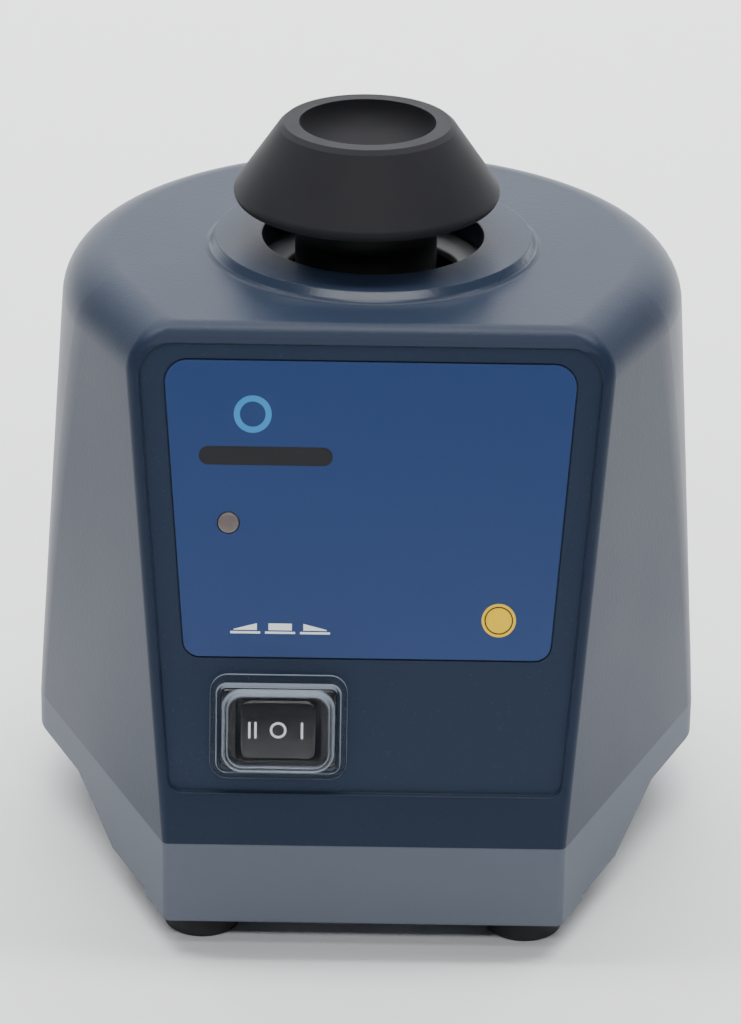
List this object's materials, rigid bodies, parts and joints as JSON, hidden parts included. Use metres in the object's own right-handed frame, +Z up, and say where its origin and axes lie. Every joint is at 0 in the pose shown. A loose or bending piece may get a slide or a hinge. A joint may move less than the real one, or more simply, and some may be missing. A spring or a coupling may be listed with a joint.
{
  "type": "vortex mixer",
  "caption": "Bench vortex mixer: a rounded housing with a leaning control face and a rubber cup that orbits on a sprung motor to swirl a tube.",
  "frame": {"origin": "on the bench plane under the motor axis, at the centre of the footprint", "axes": "+Z up along the motor axis, -Y out of the control face, +Y out of the mains inlet, +X to the right seen from the front"},
  "size_m": [0.127, 0.1281, 0.1395],
  "materials": {
    "blue_paint": "fine textured satin paint over a cast metal shell",
    "grey_plastic": "moulded plastic with a fine texture",
    "black_rubber": "moulded rubber",
    "cup_rubber": "smooth moulded rubber, satin",
    "zinc_steel": "zinc plated steel",
    "label_film": "printed polycarbonate film, satin",
    "lens_plastic": "smoked lens",
    "board_laminate": "green circuit board",
    "black_plastic": "moulded black plastic",
    "clear_silicone": "clear flexible silicone",
    "brass": "plain brass",
    "glass": "glass tube with metal end caps",
    "pale_plastic": "pale grey plastic",
    "bright_steel": "ground steel",
    "cast_aluminium": "die-cast, as cast",
    "sintered_bronze": "oil-filled sintered bronze",
    "core_steel": "stacked electrical steel, dark",
    "coil_tape": "yellow insulating tape over copper wire",
    "brown_wire": "brown insulated wire",
    "blue_wire": "blue insulated wire"
  },
  "bodies": {
    "housing": {"base_plate": "grey_plastic", "housing_shell": "blue_paint", "foot_front_left": "black_rubber", "foot_front_right": "black_rubber", "foot_rear_left": "black_rubber", "foot_rear_right": "black_rubber", "housing_screw_front_left": "zinc_steel", "housing_screw_front_right": "zinc_steel", "housing_screw_rear_left": "zinc_steel", "housing_screw_rear_right": "zinc_steel", "front_label": "label_film", "led_lens": "lens_plastic", "led_board": "board_laminate", "switch_frame": "black_plastic", "switch_cover": "clear_silicone", "switch_terminal_1": "brass", "switch_terminal_2": "brass", "switch_terminal_3": "brass", "inlet_body": "black_plastic", "inlet_pin_live": "brass", "inlet_pin_neutral": "brass", "inlet_pin_earth": "brass", "drip_ring": "pale_plastic", "guide_post_front_left": "bright_steel", "guide_post_front_right": "bright_steel", "guide_post_rear_left": "bright_steel", "guide_post_rear_right": "bright_steel", "spring_front_left": "bright_steel", "spring_front_right": "bright_steel", "spring_rear_left": "bright_steel", "spring_rear_right": "bright_steel", "touch_switch_body": "black_plastic", "wire_live": "brown_wire", "wire_touch": "blue_wire"},
    "cradle": {"cradle_plate": "zinc_steel", "lower_bracket": "cast_aluminium", "upper_bracket": "cast_aluminium", "lower_bush": "sintered_bronze", "upper_bush": "sintered_bronze", "stator_laminations": "core_steel", "stator_coil": "coil_tape", "motor_bolt_front": "zinc_steel", "motor_bolt_rear": "zinc_steel"},
    "rotor": {"rotor_core": "core_steel", "motor_shaft": "bright_steel", "eccentric_hub": "zinc_steel", "counterweight": "core_steel", "bearing_inner_ring": "bright_steel"},
    "ball_set": {"ball_cage": "brass"},
    "head": {"bearing_outer_ring": "bright_steel", "head_carrier": "black_plastic", "cup_head": "cup_rubber"},
    "rocker": {"switch_rocker": "black_plastic"},
    "plunger": {"touch_plunger": "pale_plastic"},
    "fuse_tray": {"fuse_drawer": "black_plastic", "fuse": "glass"}
  },
  "joints": [
    {"name": "cradle_press", "type": "slide", "parent": "housing", "child": "cradle", "axis": [0, 0, 1], "range_m": [-0.002, 0], "stiffness_N_per_m": 4000, "springref_m": 0.006, "deforming": ["spring_front_left", "spring_front_right", "spring_rear_left", "spring_rear_right"]},
    {"name": "rotor_spin", "type": "hinge", "parent": "cradle", "child": "rotor", "pos_m": [0, 0, 0.06], "axis": [0, 0, 1], "continuous": true},
    {"name": "head_orbit", "type": "hinge", "parent": "rotor", "child": "head", "pos_m": [-0.00129, -0.00153, 0.101], "axis": [0, 0, 1], "continuous": true},
    {"name": "ball_roll", "type": "hinge", "parent": "rotor", "child": "ball_set", "pos_m": [-0.00129, -0.00153, 0.101], "axis": [0, 0, 1], "continuous": true},
    {"name": "rocker_tilt", "type": "hinge", "parent": "housing", "child": "rocker", "pos_m": [-0.0158, -0.05662, 0.04303], "axis": [0, 0.2169, 0.9762], "range_deg": [-11, 11]},
    {"name": "touch_plunger_slide", "type": "slide", "parent": "housing", "child": "plunger", "axis": [0, 0, 1], "range_m": [-0.002, 0], "stiffness_N_per_m": 100, "springref_m": 0.002},
    {"name": "fuse_drawer_slide", "type": "slide", "parent": "housing", "child": "fuse_tray", "axis": [0, 1, 0], "range_m": [0, 0.018]}
  ],
  "couplings": [
    {"joint": "head_orbit", "follows": "rotor_spin", "ratio": -1},
    {"joint": "ball_roll", "follows": "rotor_spin", "ratio": -0.627},
    {"joint": "touch_plunger_slide", "follows": "cradle_press", "ratio": 1}
  ]
}
